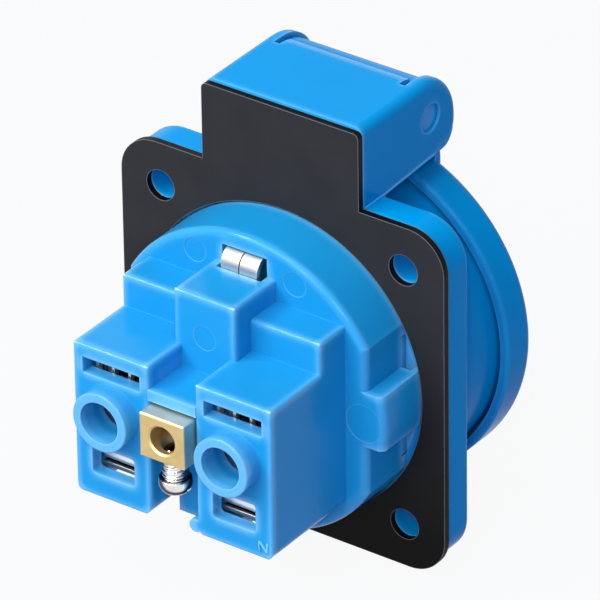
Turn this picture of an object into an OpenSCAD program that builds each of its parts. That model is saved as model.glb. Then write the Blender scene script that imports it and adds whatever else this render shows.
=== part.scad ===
// Panel-mount schuko socket outlet with a sprung lid, a flange gasket and screwless terminals.
// The socket axis runs along Y: the lid faces -Y and the terminals face +Y, with +Z up.
// The origin lies on the socket axis in the panel plane, which is the rear face of the gasket.

/* [Flange] */
// Side of the square flange
flange_w = 50; // [48:0.5:60]
// Thickness of the flange plate
flange_t = 5; // [3.5:0.5:7]
// Radius of the flange corners
flange_corner_r = 6; // [3:0.5:8]
// Rounding of the flange edges
flange_edge_r = 0.8; // [0.2:0.1:1.5]
// Distance between the panel screw holes
hole_pitch = 38; // [37:0.5:40]
// Diameter of the panel screw holes
hole_d = 4.4; // [3:0.1:5]
// Thickness of the rubber gasket
gasket_t = 1; // [0.6:0.1:2]
// Overhang of the gasket past the edge of the flange
gasket_proud = 0.25; // [0.1:0.05:0.5]

/* [Socket well] */
// Inside diameter of the well
well_d = 39; // [38:0.1:39.6]
// Depth of the well from its mouth to its floor
well_depth = 17.4; // [16:0.1:19]
// Wall of the well
well_wall = 1; // [0.8:0.1:1.4]
// Thickness of the well floor
floor_t = 1.8; // [1.6:0.1:3]
// Width of the rim round the mouth of the well
mouth_rim_w = 1.8; // [1:0.1:1.9]
// Thickness of the rim round the mouth of the well
mouth_rim_t = 1.2; // [0.8:0.1:2]
// Wall of the flange collar round the well
collar_wall = 1.9; // [1.9:0.1:2.2]
// Distance between the two pins of a plug
pin_pitch = 19; // [18.8:0.1:19.2]
// Diameter of the pin holes in the floor
pin_hole_d = 5.4; // [5:0.1:5.8]
// Width of the two guide ribs in the well
guide_w = 5; // [3:0.5:7]
// Height of the guide ribs above the well wall
guide_h = 1.7; // [1:0.1:2]

/* [Rear housing] */
// Diameter of the round body behind the panel
body_d = 43; // [42.6:0.1:43.2]
// Depth of the round body behind the panel
body_depth = 7.9; // [7:0.1:8.4]
// Distance between the two flats of the round body
flats_w = 37.2; // [35:0.1:40]
// Rounding of the rear rim of the round body
rim_r = 1; // [0.4:0.1:1.5]
// Height of the key block on one of the flats
key_h = 8; // [6:0.5:10]
// Height of the middle of the key block above the socket axis
key_rise = 0.6; // [0:0.1:1]
// Width of the terminal block
block_w = 31; // [30.4:0.1:32]
// Depth of the terminal block behind the panel
block_depth = 24; // [23.5:0.1:26]
// Height of the terminal towers above the socket axis
tower_top = 8.9; // [8.8:0.1:10]
// Reach of the terminal block below the socket axis
block_drop = 13.4; // [12.8:0.1:14]
// Height of the shoulder above the socket axis
shoulder_top = 13.5; // [12:0.1:14]
// Depth of the shoulder behind the panel
shoulder_depth = 13.3; // [12:0.1:14.5]
// Width of the middle rib
rib_w = 9.6; // [9.4:0.1:10]
// Half the height of the middle rib
rib_half = 16.7; // [16.2:0.1:17]
// Depth of the middle rib behind the panel
rib_depth = 16.7; // [15.5:0.1:17.5]
// Width of the earth bay between the towers
bay_w = 7.3; // [7.2:0.1:7.6]
// Height of the top of the bay roof above the socket axis
bay_roof_top = 5.6; // [5.4:0.1:6.2]
// Thickness of the bay roof
bay_roof_t = 1.6; // [1.2:0.1:1.7]
// Reach of the toe at the foot of one tower into the bay
toe_w = 1.25; // [0.8:0.05:1.4]
// Height of the toe at the foot of one tower
toe_h = 1.8; // [1.4:0.1:2.2]
// Rounding of the lower corners of the towers
foot_r = 1.5; // [0.8:0.1:1.8]
// Rounding of the moulded block edges
block_edge_r = 0.4; // [0.2:0.1:0.8]
// Thickness of the rear wall of the towers
rear_wall = 1.9; // [1.6:0.1:2.2]
// Thickness of the roof and floor of the contact chambers
chamber_wall = 1.4; // [1:0.1:1.6]

/* [Terminals] */
// Outside diameter of the wire entry collars
entry_od = 8.4; // [7.6:0.1:8.8]
// Diameter of the wire entries
entry_d = 5.9; // [5:0.1:6]
// Height of the wire entry collars above the towers
entry_stand = 2.8; // [1.5:0.1:4]
// Width of the release slots
slot_w = 9; // [8:0.1:9.2]
// Height of the release slots
slot_h = 2.3; // [1.6:0.1:2.4]
// Height of the middle of the release slots above the socket axis
slot_rise = 5.9; // [5.6:0.1:6.1]
// Width of the test windows
window_w = 6.7; // [5:0.1:7]
// Height of the test windows
window_h = 4.1; // [3:0.1:4.4]
// Depth of the middle of the test windows below the socket axis
window_drop = 7.85; // [7.4:0.05:8.2]
// Inside diameter of the contact sleeves
sleeve_d = 5; // [4.9:0.05:5.1]
// Thickness of the contact sheet
contact_t = 0.6; // [0.5:0.05:0.7]
// Distance between the upright fins of a contact
fin_pitch = 2.55; // [2.3:0.05:2.7]
// Thickness of the clamp spring strip
clamp_t = 0.45; // [0.3:0.05:0.6]
// Width of the clamp spring strip
clamp_w = 7; // [6.4:0.1:7.2]

/* [Earth] */
// Width of the earth strap
strap_w = 5.6; // [5.2:0.1:5.8]
// Thickness of the earth strap
strap_t = 0.8; // [0.6:0.1:1]
// Half the outer height of the earth strap
strap_half = 19.2; // [18.9:0.1:19.3]
// Depth of the rear face of the earth strap behind the panel
strap_depth = 9.2; // [8.8:0.1:9.6]
// Height of the brass earth terminal
earth_h = 6.5; // [6:0.1:6.6]
// Height of the middle of the earth terminal above the socket axis
earth_rise = 0.4; // [0.3:0.05:0.6]
// Reach of the earth terminal behind the towers
earth_stand = 2.3; // [1.5:0.1:3]
// Diameter of the wire hole in the earth terminal
earth_hole_d = 3.9; // [3.4:0.1:4.2]
// Diameter of the earth clamp screw
screw_d = 3.5; // [3:0.1:3.6]
// Diameter of the head of the earth clamp screw
screw_head_d = 4.5; // [4.3:0.1:5]
// Height of the head of the earth clamp screw
screw_head_h = 2.2; // [1.8:0.1:2.6]
// Travel of the earth clamp screw from its backed out place
screw_travel = 3; // [2:0.1:3.2]

/* [Lid and hinge] */
// Width of the hinge tower on the flange
hinge_w = 24.4; // [22:0.2:28]
// Height of the hinge axis above the top of the flange
hinge_rise = 6.4; // [6.2:0.1:7]
// Reach of the hinge axis in front of the panel
hinge_reach = 16; // [15:0.1:17]
// Reach of the hinge tower in front of the hinge axis
nose_reach = 6.1; // [5.8:0.1:6.4]
// Height of the top of the hinge tower above the hinge axis
nose_rise = 5.4; // [5.3:0.1:5.8]
// Reach of the hinge cheeks below the hinge axis
nose_drop = 5.7; // [5.4:0.1:6]
// Radius of the upper corner at the front of the hinge tower
nose_top_r = 7.2; // [6:0.1:7.4]
// Thickness of the hinge cheeks
cheek_t = 2; // [1.8:0.1:2.6]
// Thickness of the roof of the hinge tower
roof_t = 2.5; // [2:0.1:3]
// Rounding of the edges of the hinge tower
hinge_edge_r = 1.3; // [0.5:0.1:1.6]
// Reach of the lip in front of the roof, over the lid knuckle
lip_reach = 2.2; // [1.6:0.1:2.4]
// Radius of the lid knuckle
knuckle_r = 4.5; // [4.2:0.1:4.6]
// Diameter of the hinge pin
pin_d = 3; // [2.6:0.1:3.2]
// Outside diameter of the lid
lid_d = 48.6; // [48.4:0.1:49.6]
// Distance of the rear edge of the lid skirt from the panel
lid_rear = 15.8; // [15:0.1:17]
// Thickness of the lid plate
lid_t = 1.6; // [1.5:0.1:2.4]
// Rounding of the front edge of the lid
lid_edge_r = 1.7; // [0.8:0.1:2]
// Thickness of the lid seal
seal_t = 0.6; // [0.5:0.1:1]
// Diameter of the lid spring wire
spring_wire_d = 0.8; // [0.6:0.1:0.9]
// Number of turns of the lid spring
spring_turns = 7; // [5:1:8]

/* [Hidden] */
$fn = 64;

// Clearances: fixed pieces that slip together, a pin that turns, and pieces that pass each other
slip = 0.1;
run = 0.05;
pass = 0.3;
// Overrun of a cut past the face that it opens
over = 1;

// Moulded and metal colours
blue = [0.05, 0.45, 0.85];
blue_light = [0.12, 0.55, 0.92];
rubber = [0.12, 0.12, 0.13];
nickel = [0.78, 0.77, 0.74];
brass = [0.82, 0.68, 0.36];

// Places along the socket axis, from the lid to the panel
flange_rear = -gasket_t;
flange_front = flange_rear - flange_t;
floor_front = -floor_t;
mouth = floor_front - well_depth;
collar_front = mouth + mouth_rim_t;
lid_inner = mouth - pass - seal_t;
lid_front = lid_inner - lid_t;

// Radii round the socket axis
well_r = well_d / 2;
well_outer_r = well_r + well_wall;
bore_r = well_outer_r + slip;
collar_r = bore_r + collar_wall;
mouth_rim_r = well_outer_r + mouth_rim_w;
body_r = body_d / 2;
gasket_hole_r = body_r + pass;
lid_r = lid_d / 2;
skirt_r = collar_r + 2 * pass;

// Hinge axis and tower
hinge_y = -hinge_reach;
hinge_z = flange_w / 2 + hinge_rise;
hinge_half = hinge_w / 2;
hinge_top = hinge_z + nose_rise;
hinge_bottom = hinge_z - nose_drop;
nose_front = hinge_y - nose_reach;
nose_flat = 0.6;
nose_low_r = hinge_top - nose_top_r - hinge_bottom - nose_flat;
cheek_inner = hinge_half - cheek_t;
knuckle_half = cheek_inner - pass;
roof_set = 2.8;
roof_front = hinge_y + roof_set;
lip_gap = 0.9;
lip_half = cheek_inner - lip_gap;
lip_round_r = 8.2;
pin_head_r = 0.75 * pin_d;
pin_head_t = 0.8;
pin_blind = hinge_half - cheek_t / 2;
dimple_r = 2;
dimple_depth = 0.35;

// Terminal towers and contact chambers
pole_x = pin_pitch / 2;
bay_half = bay_w / 2;
block_half = block_w / 2;
chamber_half = slot_w / 2 + slip;
chamber_rear = block_depth - rear_wall;
chamber_top = tower_top - chamber_wall;
chamber_floor = -block_drop + chamber_wall;

// Shallow ejector marks on the round body and on the middle rib
mark_depth = 0.05;
mark_r = 1.7;
key_mark_r = 2.7;
body_mark_x = 7.8;
body_mark_z = 17;
rib_mark_z = 10.8;

// Contact sleeve and the bar over the wire
sleeve_r = sleeve_d / 2;
sleeve_outer_r = sleeve_r + contact_t;
sleeve_front = slip;
sleeve_length = 12.9;
sleeve_rear = sleeve_front + sleeve_length;
sleeve_slit_w = 0.8;
sleeve_slit_rear = 0.6 * sleeve_rear;
bar_bottom = sleeve_outer_r - slip;
bar_w = 4.6;
bar_front = 0.7 * sleeve_rear;
bar_rear = chamber_rear - pass;
fin_t = 0.4;
fin_depth = 1.4;
fin_rear = chamber_rear - pass;
fin_front = fin_rear - fin_depth;
frame_half = chamber_half - run;

// Clamp spring: a flat loop under the sleeve and a leaning leg with a window for wire and bar
clamp_foot_rear = chamber_rear - 2 * pass;
clamp_leg_rear = fin_front - 2 * pass;
clamp_bend_r = 0.9;
clamp_lift = 2.8;
clamp_top = -sleeve_outer_r - run;
clamp_bottom = chamber_floor + clamp_lift;
clamp_loop_r = (clamp_top - clamp_bottom) / 2;
clamp_loop_set = 3;
clamp_loop_y = sleeve_rear - clamp_loop_set;
clamp_window_half = bar_w / 2 + 2 * slip;

// Lower limb of the contact, under the clamp spring
limb_top = clamp_bottom - pass;
limb_rear = clamp_foot_rear - slip;
limb_length = 9;
limb_front = limb_rear - limb_length;

// Earth strap and terminal
strap_bend_r = 2;
strap_bump_sag = 1.2;
strap_bump_half = 4.5;
strap_bump_set = 5;
strap_bump_y = floor_front - strap_bump_set;
strap_inner = strap_half - strap_t - strap_bump_sag;
strap_slot_front = strap_bump_y - strap_bump_half - 2 * pass;
earth_half = bay_half - slip - run;
earth_wall = 1.6;
earth_mouth = 0.25;
earth_rear = block_depth + earth_stand;
earth_top = earth_rise + earth_h / 2;
earth_bottom = earth_rise - earth_h / 2;
rivet_r = 1.5;
rivet_head_r = 2.4;
rivet_head_t = 0.8;
screw_set_back = 2.8;
screw_y = earth_rear - screw_set_back;
screw_head_top = earth_bottom - screw_travel - pass;
screw_tip = earth_rise - earth_hole_d / 2 - pass;

// Lid spring: radius of its turns, the open side of the knuckle round it, and its two feet
coil_r = pin_d / 2 + run + spring_wire_d / 2 + pass;
spring_pitch = spring_wire_d + slip;
coil_half = spring_turns * spring_pitch / 2;
spring_bay_half = coil_half + spring_wire_d;
frame_foot_y = flange_front - spring_wire_d - hinge_y;
frame_foot_z = sqrt(collar_r * collar_r - coil_half * coil_half) + spring_wire_d / 2 + slip - hinge_z;
bay_from = -110;
bay_to = 60;
lid_foot_turn = bay_from + asin((spring_wire_d / 2 + slip) / knuckle_r);

// Extrudes a profile in X and Z along Y
module along_y(y0, y1) {
    translate([0, y1, 0])
        rotate([90, 0, 0])
            linear_extrude(y1 - y0)
                children();
}

// Extrudes a profile in Y and Z along X
module along_x(x0, x1) {
    translate([x0, 0, 0])
        rotate([90, 0, 90])
            linear_extrude(x1 - x0)
                children();
}

// Extrudes a profile in X and Y along Z
module along_z(z0, z1) {
    translate([0, 0, z0])
        linear_extrude(z1 - z0)
            children();
}

// Turns a profile of radius and Y about the socket axis
module turned_y() {
    rotate([-90, 0, 0])
        rotate_extrude()
            children();
}

// Turns a profile of radius and X about the X axis
module turned_x() {
    rotate([0, 90, 0])
        rotate_extrude()
            children();
}

// A rod along Y, on the socket axis unless it is moved
module rod_y(r, y0, y1) {
    translate([0, y0, 0])
        rotate([-90, 0, 0])
            cylinder(r = r, h = y1 - y0);
}

// A rod along X, on the X axis unless it is moved
module rod_x(r, x0, x1) {
    translate([x0, 0, 0])
        rotate([0, 90, 0])
            cylinder(r = r, h = x1 - x0);
}

// A rectangle between two corners
module rect(a0, a1, b0, b1) {
    translate([a0, b0])
        square([a1 - a0, b1 - b0]);
}

// A rectangle between two corners, with round corners
module round_rect(a0, a1, b0, b1, r) {
    rect(a0 + r, a1 - r, b0, b1);
    rect(a0, a1, b0 + r, b1 - r);
    for (a = [a0 + r, a1 - r], b = [b0 + r, b1 - r])
        translate([a, b])
            circle(r);
}

// Half of a round-cornered section, for turning
module turning_section(r, b0, b1, edge_r) {
    intersection() {
        round_rect(-r, r, b0, b1, edge_r);
        rect(0, r, b0, b1);
    }
}

// A moulded block between two corners, with all its edges rounded
module soft_block(x0, x1, y0, y1, z0, z1, r) {
    intersection() {
        along_y(y0, y1) round_rect(x0, x1, z0, z1, r);
        along_x(x0, x1) round_rect(y0, y1, z0, z1, r);
        along_z(z0, z1) round_rect(x0, x1, y0, y1, r);
    }
}

// Places its children at both poles
module at_poles() {
    for (side = [-1, 1])
        translate([side * pole_x, 0, 0])
            children();
}

// Places its children at the four panel screw holes
module at_panel_holes() {
    for (x = [-1, 1], z = [-1, 1])
        translate([x * hole_pitch / 2, 0, z * hole_pitch / 2])
            children();
}

// The square plate with round corners and rounded edges
module flange_plate() {
    half = flange_w / 2;
    inset = half - flange_corner_r;
    along_x(-inset, inset)
        round_rect(flange_front, flange_rear, -half, half, flange_edge_r);
    along_z(-inset, inset)
        round_rect(-half, half, flange_front, flange_rear, flange_edge_r);
    for (x = [-inset, inset], z = [-inset, inset])
        translate([x, 0, z])
            turned_y()
                turning_section(flange_corner_r, flange_front, flange_rear, flange_edge_r);
}

// The hinge tower: a box on a neck above the flange, with a wide corner over the front, a small one under it
// and an underside that falls to the top of the flange
module hinge_tower() {
    upper_y = nose_front + nose_top_r;
    upper_z = hinge_top - nose_top_r;
    lower_y = nose_front + nose_low_r;
    lower_z = hinge_bottom + nose_low_r;
    along_y(upper_y, flange_rear)
        round_rect(-hinge_half, hinge_half, hinge_bottom, hinge_top, hinge_edge_r);
    along_y(lower_y, upper_y)
        round_rect(-hinge_half, hinge_half, hinge_bottom, upper_z + nose_top_r / 2, hinge_edge_r);
    along_z(lower_z, upper_z)
        round_rect(-hinge_half, hinge_half, nose_front, upper_y, hinge_edge_r);
    translate([0, lower_y, lower_z])
        turned_x()
            turning_section(nose_low_r, -hinge_half, hinge_half, hinge_edge_r);
    intersection() {
        translate([0, upper_y, upper_z])
            turned_x()
                turning_section(nose_top_r, -hinge_half, hinge_half, hinge_edge_r);
        along_x(-hinge_half - over, hinge_half + over)
            rect(nose_front - over, flange_rear, upper_z, hinge_top + over);
    }
    along_y(flange_front, flange_rear)
        rect(-hinge_half, hinge_half, flange_w / 2 - flange_corner_r, hinge_z);
    along_x(-hinge_half, hinge_half)
        polygon([
            [lower_y, hinge_bottom], [flange_front, flange_w / 2], [flange_rear, flange_w / 2],
            [flange_rear, lower_z], [lower_y + nose_low_r, lower_z]
        ]);
}

// The lip in front of the hinge roof, which rounds down over the knuckle and leaves a notch at each cheek
module roof_lip() {
    along_x(-lip_half, lip_half)
        intersection() {
            translate([roof_front, hinge_top - lip_round_r])
                circle(lip_round_r);
            rect(roof_front - lip_reach, roof_front, hinge_top - roof_t, hinge_top + over);
        }
}

module flange_frame() {
    color(blue)
        difference() {
            union() {
                difference() {
                    union() {
                        flange_plate();
                        rod_y(collar_r, collar_front, flange_front + flange_t / 2);
                        hinge_tower();
                    }
                    along_x(-cheek_inner, cheek_inner) {
                        rect(nose_front - over, flange_front, collar_r + slip, hinge_top - roof_t);
                        rect(nose_front - over, roof_front, collar_r + slip, hinge_top + over);
                    }
                }
                roof_lip();
            }
            rod_y(bore_r, collar_front - over, flange_rear + over);
            at_panel_holes()
                rod_y(hole_d / 2, flange_front - over, flange_rear + over);
            translate([0, hinge_y, hinge_z]) {
                rod_x(knuckle_r + pass, -cheek_inner, cheek_inner);
                rod_x(pin_d / 2 + run / 2, -pin_blind, hinge_half + over);
                rod_x(pin_head_r + run, hinge_half - pin_head_t, hinge_half + over);
                rod_x(dimple_r, -hinge_half - over, dimple_depth - hinge_half);
            }
        }
}

module flange_gasket() {
    half = flange_w / 2 + gasket_proud;
    corner_r = flange_corner_r - 2 * gasket_proud;
    tab_corner_r = 0.8;
    color(rubber)
        difference() {
            along_y(flange_rear, 0) {
                round_rect(-half, half, -half, half, corner_r);
                round_rect(-hinge_half, hinge_half, 0, hinge_top - tab_corner_r / 2, tab_corner_r);
            }
            rod_y(gasket_hole_r, flange_rear - over, over);
            at_panel_holes()
                rod_y(hole_d / 2, flange_rear - over, over);
        }
}

module socket_well() {
    rim_edge_r = 0.4;
    guide_front = mouth + 3 * mouth_rim_t;
    strap_gap = strap_w / 2 + pass;
    flat_relief = 2 / 3 * floor_t;
    color(blue_light)
        difference() {
            union() {
                difference() {
                    union() {
                        rod_y(well_outer_r, collar_front - mouth_rim_t / 2, 0);
                        turned_y()
                            turning_section(mouth_rim_r, mouth, collar_front, rim_edge_r);
                    }
                    rod_y(well_r, mouth - over, floor_front);
                }
                for (side = [0, 1])
                    mirror([side, 0, 0])
                        along_y(guide_front, floor_front + floor_t / 2)
                            intersection() {
                                rect(well_r - guide_h, well_outer_r, -guide_w / 2, guide_w / 2);
                                circle(well_r + well_wall / 2);
                            }
            }
            at_poles()
                rod_y(pin_hole_d / 2, floor_front - over, over);
            for (side = [0, 1])
                mirror([0, 0, side])
                    along_y(strap_slot_front, over)
                        rect(-strap_gap, strap_gap, strap_inner - pass, well_outer_r + over);
            for (side = [0, 1])
                mirror([side, 0, 0])
                    along_y(-flat_relief, over)
                        rect(flats_w / 2, well_outer_r + over, -body_r, body_r);
        }
}

// The round body with its two flats, and the key block that fills out a part of one
module round_body() {
    lead = flange_rear - 2 * rim_r;
    key_bottom = key_rise - key_h / 2;
    intersection() {
        turned_y()
            turning_section(body_r, lead, body_depth, rim_r);
        rod_y(body_r + over, flange_rear, body_depth + over);
        union() {
            along_z(-body_r, body_r)
                round_rect(-flats_w / 2, flats_w / 2, lead, body_depth, rim_r);
            along_y(flange_rear, body_depth)
                round_rect(-body_r - over, 0, key_bottom, key_bottom + key_h, block_edge_r);
        }
    }
}

// One terminal tower with its wire entry collar
module terminal_tower() {
    root = body_depth / 2;
    intersection() {
        along_y(root, block_depth) {
            round_rect(bay_half, block_half, 2 * foot_r - block_drop, tower_top, block_edge_r);
            round_rect(bay_half, block_half, -block_drop, tower_top - 2 * foot_r, foot_r);
        }
        along_x(bay_half, block_half)
            round_rect(root, block_depth, -block_drop, tower_top, block_edge_r);
        along_z(-block_drop, tower_top)
            round_rect(bay_half, block_half, root, block_depth, block_edge_r);
    }
    translate([pole_x, 0, 0])
        turned_y()
            turning_section(entry_od / 2, chamber_rear + over, block_depth + entry_stand, block_edge_r / 2);
}

// The toe that reaches into the bay at the foot of the neutral tower
module tower_toe() {
    toe_lift = 0.3;
    toe_bottom = toe_lift - block_drop;
    mirror([1, 0, 0])
        along_y(rib_depth - over, block_depth)
            round_rect(bay_half - toe_w, bay_half + toe_w / 2, toe_bottom, toe_bottom + toe_h, 0.45 * toe_h);
}

// The shallow round marks that the ejector pins leave
module ejector_marks() {
    translate([pass - flats_w / 2, 0, 0])
        rod_y(key_mark_r, body_depth - mark_depth, body_depth + over);
    for (side = [-1, 1])
        translate([side * body_mark_x, 0, body_mark_z])
            rod_y(mark_r, body_depth - mark_depth, body_depth + over);
    translate([0, 0, rib_mark_z])
        rod_y(mark_r, rib_depth - mark_depth, rib_depth + over);
}

module terminal_housing() {
    root = body_depth / 2;
    channel_gap = 0.7;
    channel_half = strap_w / 2 + channel_gap;
    window_edge_r = 0.5;
    floor_hole_in = 2.1;
    floor_hole_out = chamber_half - slip;
    floor_hole_length = 3.3;
    floor_hole_rear = chamber_rear - floor_hole_in;
    color(blue_light)
        difference() {
            union() {
                round_body();
                soft_block(-block_half, block_half, root, shoulder_depth, 0, shoulder_top, block_edge_r);
                soft_block(-rib_w / 2, rib_w / 2, root, rib_depth, -rib_half, rib_half, block_edge_r);
                along_y(rib_depth - over, block_depth)
                    rect(-bay_half - slip, bay_half + slip, bay_roof_top - bay_roof_t, bay_roof_top);
                for (side = [0, 1])
                    mirror([side, 0, 0])
                        terminal_tower();
                tower_toe();
            }
            rod_y(well_outer_r + slip, flange_rear - over, 0);
            along_y(-over, strap_depth + slip)
                rect(-channel_half, channel_half, -strap_half - slip, strap_half + slip);
            translate([0, 0, earth_rise])
                rod_y(rivet_r + slip, 0, rib_depth + over);
            at_poles() {
                along_y(-over, chamber_rear)
                    rect(-chamber_half, chamber_half, chamber_floor, chamber_top);
                rod_y(entry_d / 2, chamber_rear - over, block_depth + entry_stand + over);
                along_y(chamber_rear - over, block_depth + over) {
                    rect(-slot_w / 2, slot_w / 2, slot_rise - slot_h / 2, slot_rise + slot_h / 2);
                    round_rect(-window_w / 2, window_w / 2, -window_drop - window_h / 2,
                        -window_drop + window_h / 2, window_edge_r);
                }
            }
            for (side = [0, 1])
                mirror([side, 0, 0])
                    along_z(-block_drop - over, chamber_floor + over)
                        round_rect(pole_x - floor_hole_in, pole_x + floor_hole_out,
                            floor_hole_rear - floor_hole_length, floor_hole_rear, block_edge_r);
            ejector_marks();
        }
}

// The wedge that is open on the rear side of the lid knuckle, for the spring and its feet
module knuckle_wedge() {
    reach = knuckle_r + lid_t;
    steps = 4;
    turn = (bay_to - bay_from) / steps;
    rim = [for (i = [0 : steps]) reach * [cos(bay_from + turn * i), sin(bay_from + turn * i)]];
    polygon(concat([[0, 0]], rim));
}

module hinged_lid() {
    arm_front = lid_front + lid_t / 8;
    arm_rear = lid_inner - lid_t / 8;
    arm_root = lid_r - 4 * lid_t;
    skirt_edge_r = 0.5;
    color(blue)
        difference() {
            union() {
                difference() {
                    turned_y() {
                        turning_section(lid_r, lid_front, -lid_rear - skirt_edge_r, lid_edge_r);
                        turning_section(lid_r, lid_front + lid_edge_r, -lid_rear, skirt_edge_r);
                    }
                    rod_y(skirt_r, lid_inner, -lid_rear + over);
                }
                along_x(-knuckle_half, knuckle_half)
                    polygon([
                        [arm_front, arm_root], [arm_front, lid_r - lid_edge_r],
                        [hinge_y - knuckle_r, hinge_z], [hinge_y, hinge_z],
                        [lid_inner + lid_t / 2, hinge_z - knuckle_r],
                        [arm_rear, lid_r - lid_t], [arm_rear, arm_root]
                    ]);
                translate([0, hinge_y, hinge_z])
                    rod_x(knuckle_r, -knuckle_half, knuckle_half);
            }
            translate([0, hinge_y, hinge_z]) {
                rod_x(pin_d / 2 + run, -knuckle_half - over, knuckle_half + over);
                rod_x(coil_r + spring_wire_d / 2 + pass, -spring_bay_half, spring_bay_half);
                along_x(-spring_bay_half, spring_bay_half)
                    knuckle_wedge();
            }
        }
}

module lid_seal() {
    seal_w = 2;
    color(rubber)
        turned_y()
            round_rect(mouth_rim_r - seal_w, mouth_rim_r, lid_inner, lid_inner + seal_t, seal_t / 4);
}

module hinge_pin() {
    color(nickel)
        translate([0, hinge_y, hinge_z]) {
            rod_x(pin_d / 2, slip - pin_blind, hinge_half - pin_head_t / 2);
            rod_x(pin_head_r, hinge_half - pin_head_t, hinge_half);
        }
}

// Sweeps a round wire along points that run across X
module wire(points, r, sides) {
    last = len(points) - 1;
    ring_points = [for (i = [0 : last])
        let (ahead = points[min(i + 1, last)] - points[max(i - 1, 0)],
            along = ahead / norm(ahead),
            side = cross(along, [1, 0, 0]),
            out = side / norm(side),
            up = cross(out, along))
        for (k = [0 : sides - 1])
            points[i] + r * (cos(360 * k / sides) * out + sin(360 * k / sides) * up)];
    walls = [for (i = [0 : last - 1], k = [0 : sides - 1])
        let (next = (k + 1) % sides)
        [i * sides + k, i * sides + next, (i + 1) * sides + next, (i + 1) * sides + k]];
    ends = [[for (k = [sides - 1 : -1 : 0]) k], [for (k = [0 : sides - 1]) last * sides + k]];
    polyhedron(points = ring_points, faces = concat(walls, ends), convexity = 10);
}

module lid_spring() {
    steps_per_turn = 16;
    frame_turn = atan2(frame_foot_z, frame_foot_y) - acos(coil_r / norm([frame_foot_y, frame_foot_z]));
    lid_turn = lid_foot_turn + acos(coil_r / knuckle_r);
    sweep = lid_turn - frame_turn - 360 * spring_turns;
    steps = ceil(-sweep / 360 * steps_per_turn);
    coil = [for (i = [0 : steps])
        let (turn = frame_turn + sweep * i / steps)
        [coil_half - 2 * coil_half * i / steps, coil_r * cos(turn), coil_r * sin(turn)]];
    frame_foot = [coil_half, frame_foot_y, frame_foot_z];
    lid_foot = [-coil_half, knuckle_r * cos(lid_foot_turn), knuckle_r * sin(lid_foot_turn)];
    color(nickel)
        translate([0, hinge_y, hinge_z])
            wire(concat([frame_foot], coil, [lid_foot]), spring_wire_d / 2, 8);
}

// One arm of the earth strap: its bend, its leg and the bowed contact in the well
module strap_arm() {
    mid = strap_half - strap_t / 2;
    bow_r = (strap_bump_half * strap_bump_half + strap_bump_sag * strap_bump_sag) / (2 * strap_bump_sag);
    bow_z = mid - strap_bump_sag + bow_r;
    intersection() {
        translate([strap_depth - strap_bend_r, strap_half - strap_bend_r])
            difference() {
                circle(strap_bend_r);
                circle(strap_bend_r - strap_t);
            }
        rect(strap_depth - strap_bend_r, strap_depth, strap_half - strap_bend_r, strap_half);
    }
    rect(strap_bump_y + strap_bump_half, strap_depth - strap_bend_r, strap_half - strap_t, strap_half);
    intersection() {
        translate([strap_bump_y, bow_z])
            difference() {
                circle(bow_r + strap_t / 2, $fn = 128);
                circle(bow_r - strap_t / 2, $fn = 128);
            }
        rect(strap_bump_y - strap_bump_half, strap_bump_y + strap_bump_half + strap_t / 2, 0, strap_half);
    }
}

module earth_strap() {
    slit_w = 0.2;
    straight_half = strap_half - strap_bend_r;
    color(nickel)
        difference() {
            along_x(-strap_w / 2, strap_w / 2) {
                rect(strap_depth - strap_t, strap_depth, -straight_half, straight_half);
                strap_arm();
                mirror([0, 1])
                    strap_arm();
            }
            for (z0 = [strap_half - 2 * strap_bend_r, -strap_half - over])
                along_z(z0, z0 + 2 * strap_bend_r + over)
                    rect(-slit_w / 2, slit_w / 2, strap_slot_front - over, strap_depth + over);
            translate([0, 0, earth_rise])
                rod_y(rivet_r + run, 0, strap_depth + over);
        }
}

module earth_terminal() {
    edge_r = 0.3;
    hole_r = earth_hole_d / 2;
    color(brass)
        difference() {
            union() {
                soft_block(-earth_half, earth_half, rib_depth, earth_rear, earth_bottom, earth_top, edge_r);
                translate([0, 0, earth_rise]) {
                    rod_y(rivet_r, strap_depth - strap_t - rivet_head_t / 2, rib_depth + over);
                    rod_y(rivet_head_r, strap_depth - strap_t - rivet_head_t, strap_depth - strap_t);
                }
            }
            translate([0, 0, earth_rise]) {
                rod_y(hole_r, rib_depth + earth_wall, earth_rear + over);
                translate([0, earth_rear - earth_mouth, 0])
                    rotate([-90, 0, 0])
                        cylinder(r1 = hole_r, r2 = hole_r + 2 * earth_mouth, h = 2 * earth_mouth);
            }
            translate([0, screw_y, earth_bottom - over])
                cylinder(r = screw_d / 2 + run, h = earth_h / 2 + over);
        }
}

module earth_clamp_screw() {
    head_edge_r = 0.7;
    head_bottom = screw_head_top - screw_head_h;
    slot_depth = 1;
    driver_slot_w = 0.8;
    color(nickel)
        translate([0, screw_y, 0])
            difference() {
                union() {
                    translate([0, 0, head_bottom + screw_head_h / 2])
                        cylinder(r = screw_d / 2, h = screw_tip - head_bottom - screw_head_h / 2);
                    rotate_extrude()
                        turning_section(screw_head_d / 2, head_bottom, screw_head_top, head_edge_r);
                }
                along_z(head_bottom - over, head_bottom + slot_depth)
                    rect(-screw_head_d, screw_head_d, -driver_slot_w / 2, driver_slot_w / 2);
            }
}

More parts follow.
